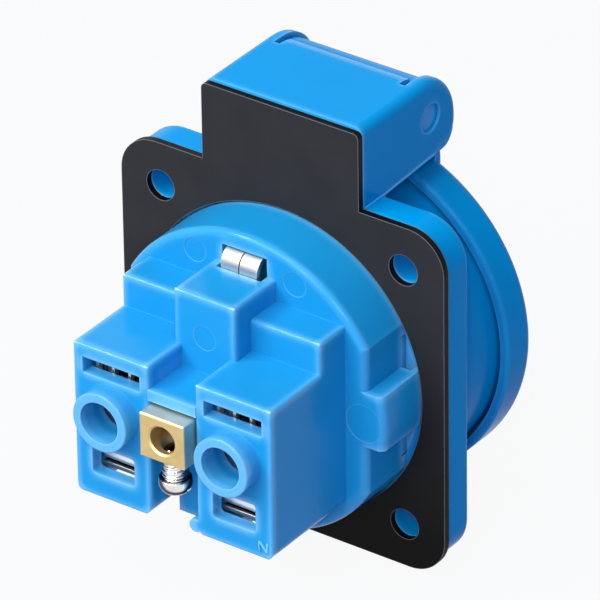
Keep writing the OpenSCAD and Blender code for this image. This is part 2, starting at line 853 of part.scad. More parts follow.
// One pole: a slit sleeve for the pin, a bar over the wire, a comb of fins and a limb under the spring
module pin_contact() {
    difference() {
        rod_y(sleeve_outer_r, sleeve_front, sleeve_rear);
        rod_y(sleeve_r, sleeve_front - over, sleeve_rear + over);
        along_y(sleeve_front - over, sleeve_rear + over)
            rect(-sleeve_slit_w / 2, sleeve_slit_w / 2, -sleeve_outer_r - over, 0);
        along_y(sleeve_front - over, sleeve_slit_rear)
            rect(-sleeve_slit_w / 2, sleeve_slit_w / 2, 0, sleeve_outer_r + over);
    }
    along_y(bar_front, bar_rear)
        rect(-bar_w / 2, bar_w / 2, bar_bottom, bar_bottom + contact_t);
    along_y(fin_front, fin_rear) {
        rect(-frame_half, frame_half, bar_bottom, bar_bottom + contact_t);
        rect(-frame_half, contact_t - frame_half, limb_top - contact_t, bar_bottom + contact_t);
        for (i = [-1.5 : 1.5])
            rect(i * fin_pitch - fin_t / 2, i * fin_pitch + fin_t / 2, bar_bottom, chamber_top - pass);
    }
    along_y(limb_front, limb_rear)
        rect(-frame_half, clamp_w / 2 + slip, limb_top - contact_t, limb_top);
}

module line_contact() {
    color(nickel)
        translate([pole_x, 0, 0])
            pin_contact();
}

module neutral_contact() {
    color(nickel)
        translate([-pole_x, 0, 0])
            pin_contact();
}

// Side view of the clamp spring: the leaning leg, the bend at its foot, two leaves and the loop
module clamp_section() {
    bend_y = clamp_foot_rear - clamp_bend_r;
    leg_top = slot_rise - slot_h / 2 - pass;
    bend_z = clamp_bottom + clamp_bend_r;
    loop_z = (clamp_top + clamp_bottom) / 2;
    polygon([
        [clamp_leg_rear, leg_top], [clamp_leg_rear - clamp_t, leg_top],
        [clamp_foot_rear - clamp_t, bend_z], [clamp_foot_rear, bend_z]
    ]);
    intersection() {
        translate([bend_y, bend_z])
            difference() {
                circle(clamp_bend_r);
                circle(clamp_bend_r - clamp_t);
            }
        rect(bend_y, clamp_foot_rear, clamp_bottom, bend_z);
    }
    rect(clamp_loop_y, bend_y, clamp_bottom, clamp_bottom + clamp_t);
    intersection() {
        translate([clamp_loop_y, loop_z])
            difference() {
                circle(clamp_loop_r);
                circle(clamp_loop_r - clamp_t);
            }
        rect(clamp_loop_y - clamp_loop_r, clamp_loop_y, clamp_bottom, clamp_top);
    }
    rect(clamp_loop_y, sleeve_rear, clamp_top - clamp_t, clamp_top);
}

module clamp_spring() {
    difference() {
        along_x(-clamp_w / 2, clamp_w / 2)
            clamp_section();
        along_y(clamp_leg_rear - clamp_t - over, clamp_foot_rear + over)
            rect(-clamp_window_half, clamp_window_half, -entry_d / 2, bar_bottom + contact_t + pass);
    }
}

module line_clamp_spring() {
    color(nickel)
        translate([pole_x, 0, 0])
            clamp_spring();
}

module neutral_clamp_spring() {
    color(nickel)
        translate([-pole_x, 0, 0])
            clamp_spring();
}

flange_frame();
flange_gasket();
socket_well();
terminal_housing();
hinged_lid();
lid_seal();
hinge_pin();
lid_spring();
earth_strap();
earth_terminal();
earth_clamp_screw();
line_contact();
neutral_contact();
line_clamp_spring();
neutral_clamp_spring();
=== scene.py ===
import math
import bmesh
import bpy
from mathutils import Matrix, Vector


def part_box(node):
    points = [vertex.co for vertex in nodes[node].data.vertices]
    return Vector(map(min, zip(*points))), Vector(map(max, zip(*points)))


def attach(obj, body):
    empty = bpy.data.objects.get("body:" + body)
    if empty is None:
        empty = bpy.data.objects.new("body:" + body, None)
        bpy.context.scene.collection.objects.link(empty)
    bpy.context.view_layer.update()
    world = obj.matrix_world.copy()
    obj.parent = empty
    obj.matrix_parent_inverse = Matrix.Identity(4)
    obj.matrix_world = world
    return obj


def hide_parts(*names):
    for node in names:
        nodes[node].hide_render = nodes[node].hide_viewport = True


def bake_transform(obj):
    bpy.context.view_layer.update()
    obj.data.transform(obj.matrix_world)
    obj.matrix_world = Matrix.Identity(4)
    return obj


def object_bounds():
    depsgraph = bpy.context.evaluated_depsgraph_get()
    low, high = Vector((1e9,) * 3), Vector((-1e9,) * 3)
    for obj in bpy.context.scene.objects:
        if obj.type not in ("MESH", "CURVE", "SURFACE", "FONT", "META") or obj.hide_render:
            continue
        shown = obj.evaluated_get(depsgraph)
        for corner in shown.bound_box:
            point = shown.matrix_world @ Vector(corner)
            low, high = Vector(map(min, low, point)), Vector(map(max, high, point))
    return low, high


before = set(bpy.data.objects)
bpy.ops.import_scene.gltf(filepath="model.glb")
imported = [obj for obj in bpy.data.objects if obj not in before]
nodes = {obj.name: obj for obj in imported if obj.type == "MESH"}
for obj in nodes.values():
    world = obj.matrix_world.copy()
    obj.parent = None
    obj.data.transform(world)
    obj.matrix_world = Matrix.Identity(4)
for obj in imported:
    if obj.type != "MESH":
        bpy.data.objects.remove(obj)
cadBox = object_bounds()
scene = bpy.context.scene
print("frame loaded:", len(nodes), "nodes")


# camera at the photograph's angle, worked out for a picture of 600 x 600
cameraView = {
    "azimuth": 215.906,
    "elevation": 30.977,
    "roll": -0.820,
    "distance": 0.99775,
    "target": (-0.002877, 0.0, 0.009185),
    "focalPixels": 7803.95,
    "pictureWidth": 600,
    "sensorWidth": 36,
    "clip": (0.05, 20),
}


def viewDirection(azimuth, elevation):
    a, e = math.radians(azimuth), math.radians(elevation)
    return Vector((math.sin(a) * math.cos(e), -math.cos(a) * math.cos(e), math.sin(e)))


def addCamera(view):
    away = viewDirection(view["azimuth"], view["elevation"])
    cameraData = bpy.data.cameras.new("photoCamera")
    cameraData.sensor_width = view["sensorWidth"]
    cameraData.lens = view["focalPixels"] / view["pictureWidth"] * view["sensorWidth"]
    cameraData.clip_start, cameraData.clip_end = view["clip"]
    camera = bpy.data.objects.new("photoCamera", cameraData)
    aim = (-away).to_track_quat("-Z", "Y").to_matrix().to_4x4()
    roll = Matrix.Rotation(math.radians(view["roll"]), 4, "Z")
    place = Matrix.Translation(Vector(view["target"]) + away * view["distance"])
    camera.matrix_world = place @ aim @ roll
    scene.collection.objects.link(camera)
    scene.camera = camera


addCamera(cameraView)


# soft studio lamps round the socket, and a surround that is white only to the camera and in shiny faces
studio = {
    "middle": (0.0, 0.0, 0.0),
    "lamps": [
        # name, azimuth, elevation, distance, width, height, watts
        ("keyLamp", 165, 40, 0.9, 0.75, 0.60, 7.9),
        ("edgeLamp", 132, 44, 0.9, 0.15, 0.15, 1.8),
        ("rimLamp", 214, 32, 0.9, 0.15, 0.15, 1.8),
        ("topLamp", 215, 75, 0.9, 0.70, 0.50, 2.4),
        ("frontLamp", 26, 12, 0.9, 1.10, 0.80, 2.2),
    ],
    "surround": (0.13, 0.155, 0.29, 1),
}


def seenRays(tree):
    # one for what the camera sees, straight or in a shiny face
    rays = tree.nodes.new("ShaderNodeLightPath")
    seen = tree.nodes.new("ShaderNodeMath")
    seen.operation = "MAXIMUM"
    tree.links.new(rays.outputs["Is Camera Ray"], seen.inputs[0])
    tree.links.new(rays.outputs["Is Glossy Ray"], seen.inputs[1])
    return seen.outputs["Value"]


def addStudio(values):
    middle = Vector(values["middle"])
    for name, azimuth, elevation, distance, width, height, watts in values["lamps"]:
        lampData = bpy.data.lights.new(name, "AREA")
        lampData.shape = "RECTANGLE"
        lampData.size = width
        lampData.size_y = height
        lampData.energy = watts
        lamp = bpy.data.objects.new(name, lampData)
        away = viewDirection(azimuth, elevation)
        aim = (-away).to_track_quat("-Z", "Y").to_matrix().to_4x4()
        lamp.matrix_world = Matrix.Translation(middle + away * distance) @ aim
        scene.collection.objects.link(lamp)
    world = bpy.data.worlds.new("studioSurround")
    scene.world = world
    world.use_nodes = True
    tree = world.node_tree
    tree.nodes.clear()
    output = tree.nodes.new("ShaderNodeOutputWorld")
    background = tree.nodes.new("ShaderNodeBackground")
    colour = tree.nodes.new("ShaderNodeMix")
    colour.data_type = "RGBA"
    colour.inputs["A"].default_value = values["surround"]
    colour.inputs["B"].default_value = (1, 1, 1, 1)
    tree.links.new(seenRays(tree), colour.inputs["Factor"])
    tree.links.new(colour.outputs["Result"], background.inputs["Color"])
    tree.links.new(background.outputs["Background"], output.inputs["Surface"])


addStudio(studio)
scene.view_settings.view_transform = "Standard"


# pale floor under the flange, near white to the camera, still taking the shadow
floorValues = {"size": 8.0, "gap": 0.0002, "paint": (0.36, 0.38, 0.50, 1), "whiteShare": 0.93}


def addFloor(values):
    mesh = bmesh.new()
    bmesh.ops.create_grid(mesh, x_segments=1, y_segments=1, size=values["size"] / 2)
    bmesh.ops.translate(mesh, verts=mesh.verts, vec=(0, 0, cadBox[0][2] - values["gap"]))
    floorMesh = bpy.data.meshes.new("paleFloor")
    mesh.to_mesh(floorMesh)
    mesh.free()
    floor = bpy.data.objects.new("paleFloor", floorMesh)
    scene.collection.objects.link(floor)
    material = bpy.data.materials.new("paleFloor")
    material.use_nodes = True
    tree = material.node_tree
    tree.nodes.clear()
    output = tree.nodes.new("ShaderNodeOutputMaterial")
    paint = tree.nodes.new("ShaderNodeBsdfDiffuse")
    paint.inputs["Color"].default_value = values["paint"]
    white = tree.nodes.new("ShaderNodeEmission")
    white.inputs["Strength"].default_value = 1.0
    share = tree.nodes.new("ShaderNodeMath")
    share.operation = "MULTIPLY"
    share.inputs[1].default_value = values["whiteShare"]
    mix = tree.nodes.new("ShaderNodeMixShader")
    tree.links.new(seenRays(tree), share.inputs[0])
    tree.links.new(share.outputs["Value"], mix.inputs["Fac"])
    tree.links.new(paint.outputs["BSDF"], mix.inputs[1])
    tree.links.new(white.outputs["Emission"], mix.inputs[2])
    tree.links.new(mix.outputs["Shader"], output.inputs["Surface"])
    floorMesh.materials.append(material)


addFloor(floorValues)
print("camera, studio and floor ready")


# shader groups that several finishes share
def addSockets(group, inputs, outputs):
    for name, kind, value in inputs:
        socket = group.interface.new_socket(name, in_out="INPUT", socket_type=kind)
        socket.default_value = value
    for name, kind in outputs:
        group.interface.new_socket(name, in_out="OUTPUT", socket_type=kind)
    return group.nodes.new("NodeGroupInput"), group.nodes.new("NodeGroupOutput")


edgeValues = {"samples": 8, "reach": 2.0, "mask": (0.92, 0.55)}


def makeEdgeGroup(values):
    # broken edges: a normal that rolls over them, and a mask of the ones that stand out
    group = bpy.data.node_groups.new("brokenEdges", "ShaderNodeTree")
    start, end = addSockets(
        group,
        [("Radius", "NodeSocketFloat", 0.0002)],
        [("Edge", "NodeSocketFloat"), ("Normal", "NodeSocketVector")],
    )
    rolled = group.nodes.new("ShaderNodeBevel")
    rolled.samples = values["samples"]
    within = group.nodes.new("ShaderNodeAmbientOcclusion")  # looks inwards, so only outer edges darken
    within.inside = True
    within.only_local = True
    within.samples = values["samples"]
    reach = group.nodes.new("ShaderNodeMath")
    reach.operation = "MULTIPLY"
    reach.inputs[1].default_value = values["reach"]
    mask = group.nodes.new("ShaderNodeMapRange")
    mask.inputs["From Min"].default_value, mask.inputs["From Max"].default_value = values["mask"]
    group.links.new(start.outputs["Radius"], rolled.inputs["Radius"])
    group.links.new(start.outputs["Radius"], reach.inputs[0])
    group.links.new(reach.outputs["Value"], within.inputs["Distance"])
    group.links.new(within.outputs["AO"], mask.inputs["Value"])
    group.links.new(mask.outputs["Result"], end.inputs["Edge"])
    group.links.new(rolled.outputs["Normal"], end.inputs["Normal"])
    return group


skinValues = {"cloudDetail": 3, "grainDetail": 2, "grainShare": 0.35}


def makeSkinGroup(values):
    # moulded skin: slow flow clouds, a fine grain and the height of both
    group = bpy.data.node_groups.new("mouldedSkin", "ShaderNodeTree")
    start, end = addSockets(
        group,
        [("Cloud Scale", "NodeSocketFloat", 90), ("Grain Scale", "NodeSocketFloat", 5000)],
        [("Cloud", "NodeSocketFloat"), ("Grain", "NodeSocketFloat"), ("Height", "NodeSocketFloat")],
    )
    place = group.nodes.new("ShaderNodeTexCoord")
    cloud = group.nodes.new("ShaderNodeTexNoise")
    cloud.inputs["Detail"].default_value = values["cloudDetail"]
    grain = group.nodes.new("ShaderNodeTexNoise")
    grain.inputs["Detail"].default_value = values["grainDetail"]
    height = group.nodes.new("ShaderNodeMath")
    height.operation = "MULTIPLY_ADD"
    height.inputs[1].default_value = values["grainShare"]
    for noise, name in ((cloud, "Cloud Scale"), (grain, "Grain Scale")):
        group.links.new(place.outputs["Object"], noise.inputs["Vector"])
        group.links.new(start.outputs[name], noise.inputs["Scale"])
    group.links.new(grain.outputs["Fac"], height.inputs[0])
    group.links.new(cloud.outputs["Fac"], height.inputs[2])
    group.links.new(cloud.outputs["Fac"], end.inputs["Cloud"])
    group.links.new(grain.outputs["Fac"], end.inputs["Grain"])
    group.links.new(height.outputs["Value"], end.inputs["Height"])
    return group


brushValues = {"lineDetail": 4, "tarnishScale": 500, "tarnishDetail": 5}


def makeBrushGroup(values):
    # drawn or milled metal: fine lines along one axis, and slow tarnish
    group = bpy.data.node_groups.new("drawnMetal", "ShaderNodeTree")
    start, end = addSockets(
        group,
        [("Stretch", "NodeSocketVector", (1, 1, 1)), ("Line Scale", "NodeSocketFloat", 6000)],
        [("Lines", "NodeSocketFloat"), ("Tarnish", "NodeSocketFloat")],
    )
    place = group.nodes.new("ShaderNodeTexCoord")
    stretch = group.nodes.new("ShaderNodeVectorMath")
    stretch.operation = "MULTIPLY"
    lines = group.nodes.new("ShaderNodeTexNoise")
    lines.inputs["Detail"].default_value = values["lineDetail"]
    tarnish = group.nodes.new("ShaderNodeTexNoise")
    tarnish.inputs["Scale"].default_value = values["tarnishScale"]
    tarnish.inputs["Detail"].default_value = values["tarnishDetail"]
    group.links.new(place.outputs["Object"], stretch.inputs[0])
    group.links.new(start.outputs["Stretch"], stretch.inputs[1])
    group.links.new(stretch.outputs["Vector"], lines.inputs["Vector"])
    group.links.new(start.outputs["Line Scale"], lines.inputs["Scale"])
    group.links.new(place.outputs["Object"], tarnish.inputs["Vector"])
    group.links.new(lines.outputs["Fac"], end.inputs["Lines"])
    group.links.new(tarnish.outputs["Fac"], end.inputs["Tarnish"])
    return group


edgeGroup = makeEdgeGroup(edgeValues)
skinGroup = makeSkinGroup(skinValues)
brushGroup = makeBrushGroup(brushValues)


def startMaterial(name):
    material = bpy.data.materials.new(name)
    material.use_nodes = True
    tree = material.node_tree
    tree.nodes.clear()
    output = tree.nodes.new("ShaderNodeOutputMaterial")
    shader = tree.nodes.new("ShaderNodeBsdfPrincipled")
    tree.links.new(shader.outputs["BSDF"], output.inputs["Surface"])
    return material, tree, shader


def placeGroup(tree, group, **values):
    node = tree.nodes.new("ShaderNodeGroup")
    node.node_tree = group
    for name, value in values.items():
        node.inputs[name.replace("_", " ")].default_value = value
    return node


def mixColours(tree, factor, first, second):
    mix = tree.nodes.new("ShaderNodeMix")
    mix.data_type = "RGBA"
    tree.links.new(factor, mix.inputs["Factor"])
    for value, socket in ((first, mix.inputs["A"]), (second, mix.inputs["B"])):
        if isinstance(value, tuple):
            socket.default_value = value
        else:
            tree.links.new(value, socket)
    return mix.outputs["Result"]


noiseRange = (0.25, 0.75)  # where nearly all of a noise lies


def spread(tree, value, low, high):
    node = tree.nodes.new("ShaderNodeMapRange")
    node.inputs["From Min"].default_value, node.inputs["From Max"].default_value = noiseRange
    node.inputs["To Min"].default_value = low
    node.inputs["To Max"].default_value = high
    tree.links.new(value, node.inputs["Value"])
    return node.outputs["Result"]


def ramp(tree, value, low, high):
    node = tree.nodes.new("ShaderNodeMapRange")
    node.inputs["From Min"].default_value = low
    node.inputs["From Max"].default_value = high
    tree.links.new(value, node.inputs["Value"])
    return node.outputs["Result"]


def times(tree, value, factor):
    node = tree.nodes.new("ShaderNodeMath")
    node.operation = "MULTIPLY"
    tree.links.new(value, node.inputs[0])
    if isinstance(factor, float):
        node.inputs[1].default_value = factor
    else:
        tree.links.new(factor, node.inputs[1])
    return node.outputs["Value"]


def bumpFrom(tree, height, strength, distance, normal):
    bump = tree.nodes.new("ShaderNodeBump")
    bump.inputs["Strength"].default_value = strength
    bump.inputs["Distance"].default_value = distance
    tree.links.new(height, bump.inputs["Height"])
    tree.links.new(normal, bump.inputs["Normal"])
    return bump.outputs["Normal"]


# moulded plastics
framePlastic = {
    "name": "framePlastic",
    "deep": (0.000, 0.275, 0.61, 1),
    "pale": (0.000, 0.295, 0.65, 1),
    # painted highlight: this edge colour lightens the convex edges and the rounded rims
    "edge": (0.10, 0.50, 0.92, 1),
    "edgeRadius": 0.00025,
    "edgeHighlightShare": 0.6,
    "rimRadius": 0.0005,
    "rimGloss": 0.22,
    "rimHighlightShare": 0.25,
    "roughness": (0.18, 0.25),
    "specular": 0.025,
    "refraction": 1.5,
    "coatRoughness": 0.13,
    "cloudScale": 70,
    "grainScale": 4200,
    "grainStrength": 0.06,
    "grainDepth": 0.00003,
}
bodyPlastic = dict(
    framePlastic,
    name="bodyPlastic",
    deep=(0.009, 0.285, 0.60, 1),
    pale=(0.014, 0.305, 0.64, 1),
    # painted highlight on the body's edges and rims
    edge=(0.20, 0.58, 0.94, 1),
    edgeHighlightShare=0.8,
    rimRadius=0.0007,
    rimGloss=0.85,
    rimHighlightShare=0.5,
    specular=0.09,
)


def makePlastic(values):
    material, tree, shader = startMaterial(values["name"])
    edges = placeGroup(tree, edgeGroup, Radius=values["edgeRadius"])
    skin = placeGroup(tree, skinGroup, Cloud_Scale=values["cloudScale"], Grain_Scale=values["grainScale"])
    rims = placeGroup(tree, edgeGroup, Radius=values["rimRadius"])
    highlightMask = tree.nodes.new("ShaderNodeMath")
    highlightMask.operation = "MAXIMUM"
    tree.links.new(times(tree, edges.outputs["Edge"], values["edgeHighlightShare"]), highlightMask.inputs[0])
    tree.links.new(times(tree, rims.outputs["Edge"], values["rimHighlightShare"]), highlightMask.inputs[1])
    tint = mixColours(tree, spread(tree, skin.outputs["Cloud"], 0, 1), values["deep"], values["pale"])
    # painted highlight: the edges and rims are lightened towards the edge colour
    edgeHighlit = mixColours(tree, highlightMask.outputs["Value"], tint, values["edge"])
    tree.links.new(edgeHighlit, shader.inputs["Base Color"])
    tree.links.new(spread(tree, skin.outputs["Grain"], *values["roughness"]), shader.inputs["Roughness"])
    normal = bumpFrom(
        tree, skin.outputs["Height"], values["grainStrength"], values["grainDepth"], edges.outputs["Normal"]
    )
    tree.links.new(normal, shader.inputs["Normal"])
    # the tool leaves the rounded edges glossier than the faces
    tree.links.new(times(tree, rims.outputs["Edge"], values["rimGloss"]), shader.inputs["Coat Weight"])
    shader.inputs["Coat Roughness"].default_value = values["coatRoughness"]
    shader.inputs["IOR"].default_value = values["refraction"]
    shader.inputs["Specular IOR Level"].default_value = values["specular"]
    return material


# soft black rubber, with a little painted sheen
gasketRubber = {
    "name": "gasketRubber",
    "deep": (0.002, 0.002, 0.002, 1),
    # painted sheen: a lighter grey laid on the rear face
    "paintedSheen": (0.028, 0.028, 0.030, 1),
    "sheenRise": (-0.020, 0.012),
    "sheenFace": (-0.00014, -0.00004),
    # painted highlight along the edges
    "edge": (0.30, 0.28, 0.28, 1),
    "edgeRadius": 0.00006,
    "edgeHighlightShare": 0.6,
    "roughness": (0.44, 0.58),
    "specular": 0.07,
    "cloudScale": 140,
    "cloudShare": (0.75, 1),
    "grainScale": 6500,
    "grainStrength": 0.14,
    "grainDepth": 0.00003,
}


def makeRubber(values):
    material, tree, shader = startMaterial(values["name"])
    edges = placeGroup(tree, edgeGroup, Radius=values["edgeRadius"])
    skin = placeGroup(tree, skinGroup, Cloud_Scale=values["cloudScale"], Grain_Scale=values["grainScale"])
    place = tree.nodes.new("ShaderNodeTexCoord")
    parts = tree.nodes.new("ShaderNodeSeparateXYZ")
    tree.links.new(place.outputs["Object"], parts.inputs["Vector"])
    # painted sheen: it lies on the rear face, is lighter towards the top and thins out towards the foot
    rise = ramp(tree, parts.outputs["Z"], *values["sheenRise"])
    sheenShare = times(tree, rise, spread(tree, skin.outputs["Cloud"], *values["cloudShare"]))
    sheenShare = times(tree, sheenShare, ramp(tree, parts.outputs["Y"], *values["sheenFace"]))
    tint = mixColours(tree, sheenShare, values["deep"], values["paintedSheen"])
    # painted highlight on the edges
    edgeHighlit = mixColours(tree, times(tree, edges.outputs["Edge"], values["edgeHighlightShare"]), tint, values["edge"])
    tree.links.new(edgeHighlit, shader.inputs["Base Color"])
    tree.links.new(spread(tree, skin.outputs["Grain"], *values["roughness"]), shader.inputs["Roughness"])
    normal = bumpFrom(
        tree, skin.outputs["Grain"], values["grainStrength"], values["grainDepth"], edges.outputs["Normal"]
    )
    tree.links.new(normal, shader.inputs["Normal"])
    shader.inputs["Specular IOR Level"].default_value = values["specular"]
    return material


# metals, from what they share to what each has of its own
plainMetal = {
    # painted highlight: this colour lightens the metal edges
    "edge": (0.96, 0.95, 0.92, 1),
    "edgeRadius": 0.00010,
    "edgeHighlightShare": 0.7,
    "lineScale": 7000,
    "lineStrength": 0.10,
    "lineDepth": 0.00002,
    "roughness": (0.30, 0.42),
}
nickelFinish = dict(
    plainMetal,
    name="nickelSheet",
    base=(0.88, 0.86, 0.82, 1),
    dark=(0.78, 0.76, 0.72, 1),
    stretch=(1, 0.12, 1),
    dull=(0.58, 0.56, 0.53, 1),
    dullHalf=(0.0044, 0.0038),
    # painted shade behind the fins, between these depths
    finShade=(0.05, 0.05, 0.05, 1),
    finShadeFrom=(0.0180, 0.0188),
    finShadeTo=(0.0214, 0.0208),
)
zincFinish = dict(
    plainMetal,
    name="screwZinc",
    base=(0.88, 0.87, 0.86, 1),
    dark=(0.72, 0.71, 0.70, 1),
    stretch=(1, 1, 0.2),
    roughness=(0.10, 0.18),
    # painted reflection: a dark horizon band on the screw
    horizon=(0.06, 0.055, 0.05, 1),
    horizonFrom=(0.26, 0.40),
    horizonTo=(0.80, 0.64),
)
springFinish = dict(
    plainMetal,
    name="springSteel",
    base=(0.96, 0.95, 0.93, 1),
    dark=(0.86, 0.85, 0.83, 1),
    stretch=(0.2, 1, 1),
    roughness=(0.36, 0.50),
)
pinFinish = dict(
    plainMetal,
    name="pinSteel",
    base=(0.60, 0.60, 0.61, 1),
    dark=(0.46, 0.46, 0.47, 1),
    stretch=(0.1, 1, 1),
)


# the earth block is plated, but its milled rear face and its wire hole are bare brass
brassFinish = dict(
    plainMetal,
    name="terminalBrass",
    base=(0.68, 0.66, 0.57, 1),
    dark=(0.54, 0.52, 0.43, 1),
    # painted highlight on the block's edges
    edge=(0.92, 0.84, 0.64, 1),
    edgeRadius=0.00012,
    stretch=(1, 1, 0.15),
    lineScale=5200,
    roughness=(0.44, 0.58),
    lineStrength=0.34,
    bare=(0.74, 0.57, 0.28, 1),
    bareDark=(0.63, 0.47, 0.21, 1),
    bareFrom=(0.02608, 0.02622),
    holeMiddle=(0.0, 0.0, 0.0004),
    holeReach=(0.00224, 0.00214),
)


def bareMask(tree, values):
    # one on the milled rear face and round the wire hole
    place = tree.nodes.new("ShaderNodeTexCoord")
    parts = tree.nodes.new("ShaderNodeSeparateXYZ")
    away = tree.nodes.new("ShaderNodeVectorMath")
    away.operation = "SUBTRACT"
    away.inputs[1].default_value = values["holeMiddle"]
    across = tree.nodes.new("ShaderNodeVectorMath")
    across.operation = "MULTIPLY"
    across.inputs[1].default_value = (1, 0, 1)
    radius = tree.nodes.new("ShaderNodeVectorMath")
    radius.operation = "LENGTH"
    either = tree.nodes.new("ShaderNodeMath")
    either.operation = "MAXIMUM"
    tree.links.new(place.outputs["Object"], parts.inputs["Vector"])
    tree.links.new(place.outputs["Object"], away.inputs[0])
    tree.links.new(away.outputs["Vector"], across.inputs[0])
    tree.links.new(across.outputs["Vector"], radius.inputs[0])
    tree.links.new(ramp(tree, parts.outputs["Y"], *values["bareFrom"]), either.inputs[0])
    tree.links.new(ramp(tree, radius.outputs["Value"], *values["holeReach"]), either.inputs[1])
    return either.outputs["Value"]


def sheetTint(tree, values, tint):
    # the strap in the middle is dull, and the contacts get painted shade between their fins
    place = tree.nodes.new("ShaderNodeTexCoord")
    parts = tree.nodes.new("ShaderNodeSeparateXYZ")
    across = tree.nodes.new("ShaderNodeMath")
    across.operation = "ABSOLUTE"
    tree.links.new(place.outputs["Object"], parts.inputs["Vector"])
    tree.links.new(parts.outputs["X"], across.inputs[0])
    strap = ramp(tree, across.outputs["Value"], *values["dullHalf"])
    tint = mixColours(tree, strap, tint, values["dull"])
    finShadeFrom = ramp(tree, parts.outputs["Y"], *values["finShadeFrom"])
    finShadeTo = ramp(tree, parts.outputs["Y"], *values["finShadeTo"])
    return mixColours(tree, times(tree, finShadeFrom, finShadeTo), tint, values["finShade"])


def horizonReflection(tree, values, tint):
    # painted reflection: a dark horizon on the polished plating where it turns away
    weight = tree.nodes.new("ShaderNodeLayerWeight")
    weight.inputs["Blend"].default_value = 0.5  # even from face on to edge on
    turned = weight.outputs["Facing"]
    band = times(tree, ramp(tree, turned, *values["horizonFrom"]), ramp(tree, turned, *values["horizonTo"]))
    return mixColours(tree, band, tint, values["horizon"])


def makeMetal(values):
    material, tree, shader = startMaterial(values["name"])
    edges = placeGroup(tree, edgeGroup, Radius=values["edgeRadius"])
    brush = placeGroup(tree, brushGroup, Stretch=values["stretch"], Line_Scale=values["lineScale"])
    cloud = spread(tree, brush.outputs["Tarnish"], 0, 1)
    tint = mixColours(tree, cloud, values["base"], values["dark"])
    if "dull" in values:
        tint = sheetTint(tree, values, tint)
    if "bare" in values:
        bare = mixColours(tree, cloud, values["bare"], values["bareDark"])
        tint = mixColours(tree, bareMask(tree, values), tint, bare)
    if "horizon" in values:
        tint = horizonReflection(tree, values, tint)
    # painted highlight on the edges
    edgeHighlit = mixColours(tree, times(tree, edges.outputs["Edge"], values["edgeHighlightShare"]), tint, values["edge"])
    tree.links.new(edgeHighlit, shader.inputs["Base Color"])
    tree.links.new(spread(tree, brush.outputs["Lines"], *values["roughness"]), shader.inputs["Roughness"])
    normal = bumpFrom(
        tree, brush.outputs["Lines"], values["lineStrength"], values["lineDepth"], edges.outputs["Normal"]
    )
    tree.links.new(normal, shader.inputs["Normal"])
    shader.inputs["Metallic"].default_value = 1.0
    return material


finishes = {
    "frame_plastic": makePlastic(framePlastic),
    "body_plastic": makePlastic(bodyPlastic),
    "gasket_rubber": makeRubber(gasketRubber),
    "terminal_brass": makeMetal(brassFinish),
    "nickel_sheet": makeMetal(nickelFinish),
    "screw_zinc": makeMetal(zincFinish),
    "spring_steel": makeMetal(springFinish),
    "pin_steel": makeMetal(pinFinish),
}

nodeFinish = {
    "flange_frame": "frame_plastic",
    "hinged_lid": "frame_plastic",
    "terminal_housing": "body_plastic",
    "socket_well": "body_plastic",
    "flange_gasket": "gasket_rubber",
    "lid_seal": "gasket_rubber",
    "hinge_pin": "pin_steel",
    "lid_spring": "spring_steel",
    "earth_strap": "nickel_sheet",
    "earth_terminal": "terminal_brass",
    "earth_clamp_screw": "screw_zinc",
    "line_contact": "nickel_sheet",
    "neutral_contact": "nickel_sheet",
    "line_clamp_spring": "spring_steel",
    "neutral_clamp_spring": "spring_steel",
}
for nodeName, slotName in nodeFinish.items():
    node = nodes[nodeName]
    if not node.material_slots:
        node.data.materials.append(finishes[slotName])
    for materialSlot in node.material_slots:
        materialSlot.material = finishes[slotName]
print("finishes on:", len(nodeFinish), "nodes")


# what every new piece goes through
pieceValues = {"mergeWithin": 0.000002, "sharpFrom": 35}


def finishPiece(name, mesh, slotName, body):
    bmesh.ops.remove_doubles(mesh, verts=mesh.verts, dist=pieceValues["mergeWithin"])
    # pulling a tip on leaves its old face inside the piece
    inner = [face for face in mesh.faces if all(len(edge.link_faces) > 2 for edge in face.edges)]
    bmesh.ops.delete(mesh, geom=inner, context="FACES_ONLY")
    bmesh.ops.recalc_face_normals(mesh, faces=mesh.faces)
    for face in mesh.faces:
        face.smooth = True
    sharp = math.radians(pieceValues["sharpFrom"])
    for edge in mesh.edges:
        edge.smooth = not edge.is_manifold or edge.calc_face_angle() < sharp
    pieceMesh = bpy.data.meshes.new(name)
    mesh.to_mesh(pieceMesh)
    mesh.free()
    pieceMesh.materials.append(finishes[slotName])
    piece = bpy.data.objects.new(name, pieceMesh)
    scene.collection.objects.link(piece)
    if body:
        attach(piece, body)
    return piece


# threaded clamp screw with a slotted round head, in place of the plain CAD screw
screwValues = {
    "headHeight": 0.0022,
    "headTopEdge": [(0.0003, 0), (0.0001, 0.0001), (0, 0.0004), (0, 0.0010)],  # inwards, down from the top
    "headLowEdge": [(0.0002, 0.0006), (0.0006, 0.0002), (0.0011, 0)],  # inwards, up from the underside
    "sides": 48,
    "shankRadius": 0.00148,
    "neckFillet": 0.0001,
    "tipShare": 0.8,
    "tipBevel": 0.0003,
    "crestRadius": 0.00174,
    "crestShare": 0.2,
    "pitch": 0.00072,
    "ridgeShare": 0.42,
    "ridgeSink": 0.00005,
    "threadEnd": 0.0002,
    "stepsPerTurn": 40,
    "slotWidth": 0.0008,
    "slotDepth": 0.0010,
    "cutWithin": 1e-7,
    "touching": 1e-6,
}


def turnProfile(mesh, points, steps):
    # spins points of (radius, z) fully about Z
    ring = [mesh.verts.new((r, 0, z)) for r, z in points]
    edges = [mesh.edges.new(pair) for pair in zip(ring, ring[1:])]
    bmesh.ops.spin(
        mesh, geom=ring + edges, cent=(0, 0, 0), axis=(0, 0, 1), dvec=(0, 0, 0),
        angle=2 * math.pi, steps=steps, use_merge=True,
    )


